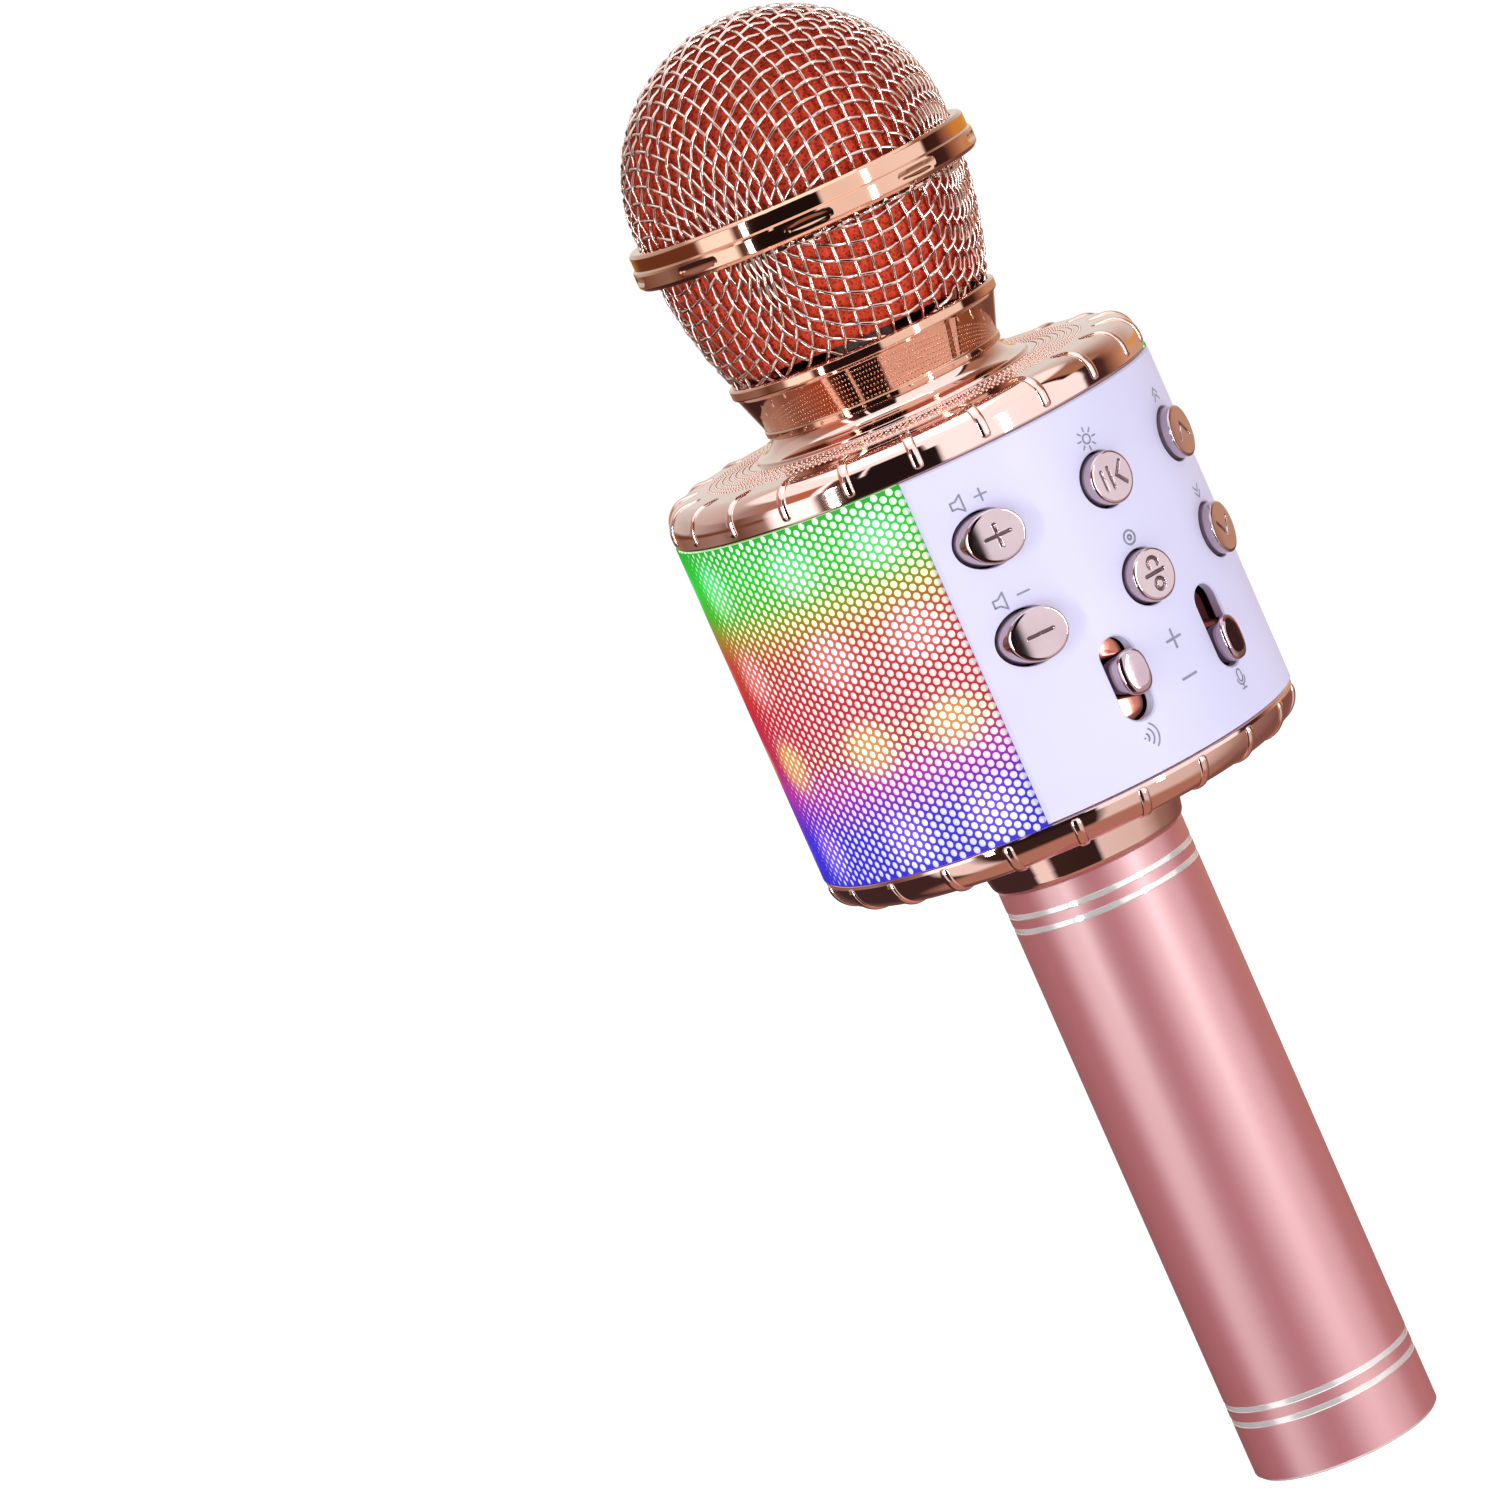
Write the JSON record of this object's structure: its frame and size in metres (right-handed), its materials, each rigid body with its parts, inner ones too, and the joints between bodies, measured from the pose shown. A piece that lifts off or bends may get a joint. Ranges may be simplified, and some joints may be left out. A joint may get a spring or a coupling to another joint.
{
  "type": "toy microphone",
  "caption": "Handheld karaoke microphone with a mesh ball head, a lit speaker drum with keys and sliders, and a tubular battery handle.",
  "frame": {"origin": "centre of the handle's end face, on the microphone's axis", "axes": "+Z along the axis from the handle to the ball head, -Y out of the control panel's middle, +X to the right seen from the panel's side"},
  "size_m": [0.0794, 0.0819, 0.243],
  "materials": {
    "mesh": "woven plated wire",
    "rose_plating": "bright rose-gold plating on plastic",
    "foam": "open-cell foam",
    "capsule_metal": "plated steel",
    "soft_rubber": "matt",
    "inner_plastic": "moulded",
    "fastener": "zinc plated",
    "panel_plastic": "smooth satin",
    "window_metal": "perforated sheet",
    "diffuser": "milky sheet, lit from behind",
    "circuit_board": "solder mask",
    "light_chip": "clear lens",
    "component": "moulded",
    "connector": "moulded",
    "key_plating": "bright rose-gold plating on plastic",
    "speaker_steel": "zinc plated",
    "cone_paper": "pressed pulp",
    "anodised": "satin anodised aluminium",
    "dark_plastic": "fine texture",
    "battery_wrap": "shrink sleeve",
    "lead_jacket": "satin"
  },
  "bodies": {
    "housing": {"grille_dome": "mesh", "grille_basket": "mesh", "grille_ring": "rose_plating", "head_collar": "rose_plating", "top_cap": "rose_plating", "bottom_cap": "rose_plating", "lower_neck": "rose_plating", "foam_liner": "foam", "mic_capsule": "capsule_metal", "capsule_cradle": "soft_rubber", "capsule_post": "inner_plastic", "chassis": "inner_plastic", "battery_holder": "inner_plastic", "drum_screws": "fastener", "board_screws": "fastener", "neck_nut": "fastener", "front_panel": "panel_plastic", "back_panel": "panel_plastic", "left_grille": "window_metal", "right_grille": "window_metal", "left_diffuser": "diffuser", "right_diffuser": "diffuser", "led_strips": "circuit_board", "main_board": "circuit_board", "port_board": "circuit_board", "left_leds": "light_chip", "right_leds": "light_chip", "board_chips": "component", "tact_switches": "component", "slide_pots": "component", "power_switch_body": "component", "card_slot": "component", "board_connectors": "connector", "left_speaker_magnet": "speaker_steel", "right_speaker_magnet": "speaker_steel", "left_speaker_frame": "speaker_steel", "right_speaker_frame": "speaker_steel", "speaker_surrounds": "soft_rubber", "handle_tube": "anodised", "handle_coupler": "dark_plastic", "end_cap": "dark_plastic", "battery_cell": "battery_wrap", "audio_jack": "component", "charging_socket": "capsule_metal", "mic_lead": "lead_jacket", "speaker_leads": "lead_jacket", "battery_lead": "lead_jacket", "port_lead": "lead_jacket"},
    "volume_up_key": {"volume_up_key": "key_plating"},
    "volume_down_key": {"volume_down_key": "key_plating"},
    "light_key": {"light_key": "key_plating"},
    "record_key": {"record_key": "key_plating"},
    "previous_key": {"previous_key": "key_plating"},
    "next_key": {"next_key": "key_plating"},
    "echo_slider": {"echo_slider": "key_plating"},
    "voice_slider": {"voice_slider": "key_plating"},
    "power_switch": {"power_switch_knob": "component"},
    "left_cone": {"left_speaker_cone": "cone_paper"},
    "right_cone": {"right_speaker_cone": "cone_paper"}
  },
  "joints": [
    {"name": "volume_up_key_press", "type": "slide", "parent": "housing", "child": "volume_up_key", "axis": [0, 1, 0], "range_m": [0, 0.0005], "stiffness_N_per_m": 1200, "springref_m": -0.0002},
    {"name": "volume_down_key_press", "type": "slide", "parent": "housing", "child": "volume_down_key", "axis": [0, 1, 0], "range_m": [0, 0.0005], "stiffness_N_per_m": 1200, "springref_m": -0.0002},
    {"name": "light_key_press", "type": "slide", "parent": "housing", "child": "light_key", "axis": [0, 1, 0], "range_m": [0, 0.0005], "stiffness_N_per_m": 1200, "springref_m": -0.0002},
    {"name": "record_key_press", "type": "slide", "parent": "housing", "child": "record_key", "axis": [0, 1, 0], "range_m": [0, 0.0005], "stiffness_N_per_m": 1200, "springref_m": -0.0002},
    {"name": "previous_key_press", "type": "slide", "parent": "housing", "child": "previous_key", "axis": [0, 1, 0], "range_m": [0, 0.0005], "stiffness_N_per_m": 1200, "springref_m": -0.0002},
    {"name": "next_key_press", "type": "slide", "parent": "housing", "child": "next_key", "axis": [0, 1, 0], "range_m": [0, 0.0005], "stiffness_N_per_m": 1200, "springref_m": -0.0002},
    {"name": "echo_slider_travel", "type": "slide", "parent": "housing", "child": "echo_slider", "axis": [0, 0, 1], "range_m": [-0.0037, 0.0023]},
    {"name": "voice_slider_travel", "type": "slide", "parent": "housing", "child": "voice_slider", "axis": [0, 0, 1], "range_m": [-0.0006, 0.0054]},
    {"name": "power_switch_travel", "type": "slide", "parent": "housing", "child": "power_switch", "axis": [1, 0, 0], "range_m": [0, 0.003]},
    {"name": "left_cone_travel", "type": "slide", "parent": "housing", "child": "left_cone", "axis": [1, 0, 0], "range_m": [-0.0006, 0.0006], "stiffness_N_per_m": 1500},
    {"name": "right_cone_travel", "type": "slide", "parent": "housing", "child": "right_cone", "axis": [1, 0, 0], "range_m": [-0.0006, 0.0006], "stiffness_N_per_m": 1500}
  ]
}
